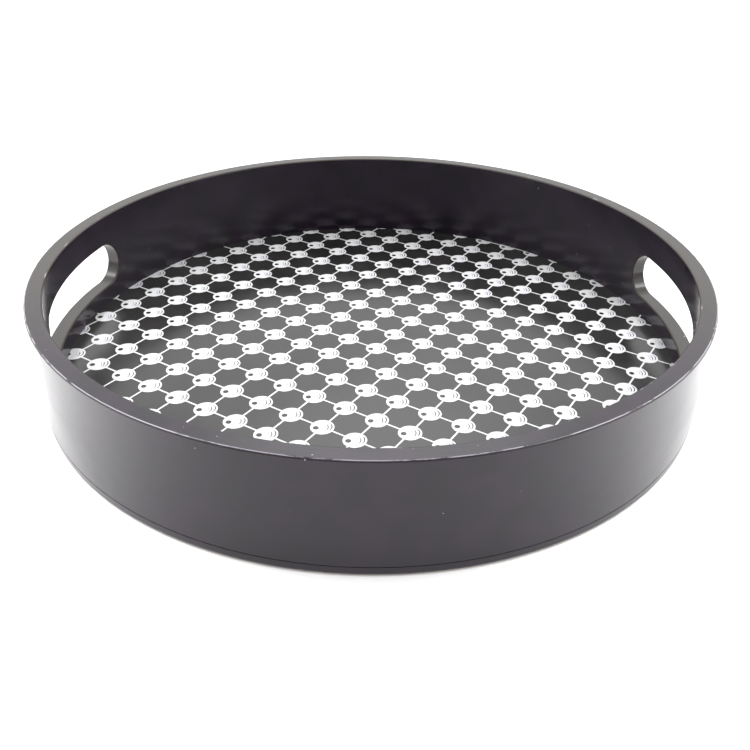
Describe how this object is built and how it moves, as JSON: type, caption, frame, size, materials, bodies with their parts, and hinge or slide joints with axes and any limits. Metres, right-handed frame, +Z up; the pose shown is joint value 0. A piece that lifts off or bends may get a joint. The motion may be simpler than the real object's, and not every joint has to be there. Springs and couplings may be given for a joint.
{
  "type": "serving tray",
  "caption": "Round lacquered serving tray with a raised bent-ply wall, hand slots cut through the wall and a printed floor.",
  "frame": {"origin": "centre of the underside, on the surface the tray stands on", "axes": "+Z up through the open top, +X towards one hand slot, +Y towards the plain wall between the slots"},
  "size_m": [0.35, 0.35, 0.057],
  "materials": {
    "black_lacquer": "satin black lacquer over wood, worn at the edges",
    "printed_laminate": "smooth semi-gloss laminate, black with a white print",
    "lining_felt": "thin matt black felt",
    "bright_steel": "plain drawn wire"
  },
  "bodies": {
    "root": {"hoop_outer_ply": "black_lacquer", "hoop_core_ply": "black_lacquer", "hoop_inner_ply": "black_lacquer", "base_board": "black_lacquer", "printed_sheet": "printed_laminate", "underside_lining": "lining_felt", "base_brads": "bright_steel"}
  },
  "joints": []
}
